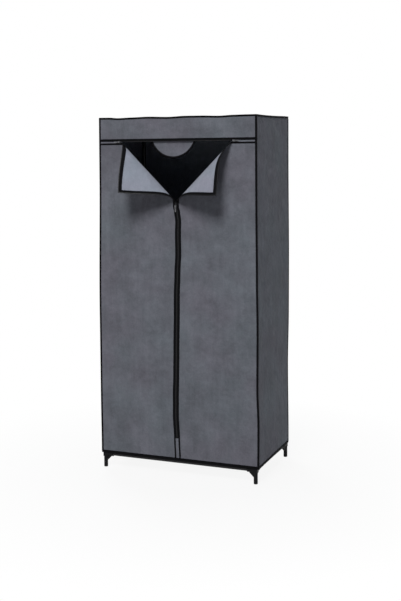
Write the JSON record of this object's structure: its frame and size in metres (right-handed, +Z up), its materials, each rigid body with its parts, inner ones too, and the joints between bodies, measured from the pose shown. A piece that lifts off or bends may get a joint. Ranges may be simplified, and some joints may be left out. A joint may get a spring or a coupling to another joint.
{
  "type": "portable fabric wardrobe",
  "caption": "Free-standing tube-frame wardrobe under a zipped cloth cover, with fold-out front corners, a dust flap, a hanging rail and a cloth base.",
  "frame": {"origin": "on the floor, at the middle of the whole part's footprint with the two front corners folded out", "axes": "+X to the right seen from the front, +Y to the back, +Z up; the doorway faces -Y"},
  "size_m": [0.76, 0.5826, 1.6],
  "materials": {
    "cover_cloth": "matte non-woven cloth",
    "cloth_inside": "matte non-woven cloth, inner side",
    "black_binding": "folded binding tape and zip tape",
    "painted_tube": "satin black paint",
    "connector_plastic": "moulded black plastic",
    "zip_metal": "black lacquered metal"
  },
  "bodies": {
    "root": {"foot_front_left": "connector_plastic", "foot_front_right": "connector_plastic", "foot_back_left": "connector_plastic", "foot_back_right": "connector_plastic", "middle_connector_front_left": "connector_plastic", "middle_connector_front_right": "connector_plastic", "middle_connector_back_left": "connector_plastic", "middle_connector_back_right": "connector_plastic", "top_connector_front_left": "connector_plastic", "top_connector_front_right": "connector_plastic", "top_connector_back_left": "connector_plastic", "top_connector_back_right": "connector_plastic", "tee_connector_left": "connector_plastic", "tee_connector_right": "connector_plastic", "lower_upright_front_left": "painted_tube", "lower_upright_front_right": "painted_tube", "lower_upright_back_left": "painted_tube", "lower_upright_back_right": "painted_tube", "upper_upright_front_left": "painted_tube", "upper_upright_front_right": "painted_tube", "upper_upright_back_left": "painted_tube", "upper_upright_back_right": "painted_tube", "bottom_rail_front": "painted_tube", "bottom_rail_back": "painted_tube", "bottom_rail_left": "painted_tube", "bottom_rail_right": "painted_tube", "crossbar_left": "painted_tube", "crossbar_right": "painted_tube", "top_rail_front": "painted_tube", "top_rail_back": "painted_tube", "top_side_rail_front_left": "painted_tube", "top_side_rail_front_right": "painted_tube", "top_side_rail_back_left": "painted_tube", "top_side_rail_back_right": "painted_tube", "hanging_rail": "painted_tube", "roof_panel": "cover_cloth", "back_panel": "cover_cloth", "left_side_panel": "cover_cloth", "right_side_panel": "cover_cloth", "left_door_panel": "cover_cloth", "right_door_panel": "cover_cloth", "valance": "cover_cloth", "zip_end_strip": "cover_cloth", "base_shelf": "cover_cloth", "cover_piping": "black_binding", "top_zip_band": "black_binding", "door_zip_band": "black_binding"},
    "left_corner": {"left_corner_flap": "cloth_inside", "left_flap_edging": "black_binding"},
    "right_corner": {"right_corner_flap": "cloth_inside", "right_flap_edging": "black_binding"},
    "dust_flap": {"dust_flap": "cover_cloth", "dust_flap_binding": "black_binding"},
    "top_left_slider": {"top_left_slider": "zip_metal"},
    "top_right_slider": {"top_right_slider": "zip_metal"},
    "door_slider": {"door_slider": "zip_metal"},
    "top_left_pull": {"top_left_pull": "zip_metal"},
    "top_right_pull": {"top_right_pull": "zip_metal"},
    "door_pull": {"door_pull": "zip_metal"}
  },
  "joints": [
    {"name": "left_corner_fold", "type": "hinge", "parent": "root", "child": "left_corner", "pos_m": [-0.267, -0.17453, 1.49075], "axis": [-0.7071, 0, 0.7071], "range_deg": [-33, 142]},
    {"name": "right_corner_fold", "type": "hinge", "parent": "root", "child": "right_corner", "pos_m": [0.267, -0.17453, 1.49075], "axis": [-0.7071, 0, -0.7071], "range_deg": [-32, 143]},
    {"name": "dust_flap_swing", "type": "hinge", "parent": "root", "child": "dust_flap", "pos_m": [-0.014, -0.17273, 1.50275], "axis": [1, 0, 0], "range_deg": [0, 110]},
    {"name": "top_left_slide", "type": "slide", "parent": "root", "child": "top_left_slider", "axis": [1, 0, 0], "range_m": [0, 0.262]},
    {"name": "top_right_slide", "type": "slide", "parent": "root", "child": "top_right_slider", "axis": [-1, 0, 0], "range_m": [0, 0.262]},
    {"name": "door_slide", "type": "slide", "parent": "root", "child": "door_slider", "axis": [0, 0, 1], "range_m": [-1.03, 0.273]},
    {"name": "top_left_pull_swing", "type": "hinge", "parent": "top_left_slider", "child": "top_left_pull", "pos_m": [-0.2741, -0.18123, 1.49075], "axis": [0, 0, 1], "range_deg": [0, 100]},
    {"name": "top_right_pull_swing", "type": "hinge", "parent": "top_right_slider", "child": "top_right_pull", "pos_m": [0.2741, -0.18123, 1.49075], "axis": [0, 0, -1], "range_deg": [0, 100]},
    {"name": "door_pull_swing", "type": "hinge", "parent": "door_slider", "child": "door_pull", "pos_m": [0, -0.18123, 1.20475], "axis": [-1, 0, 0], "range_deg": [0, 170]}
  ]
}
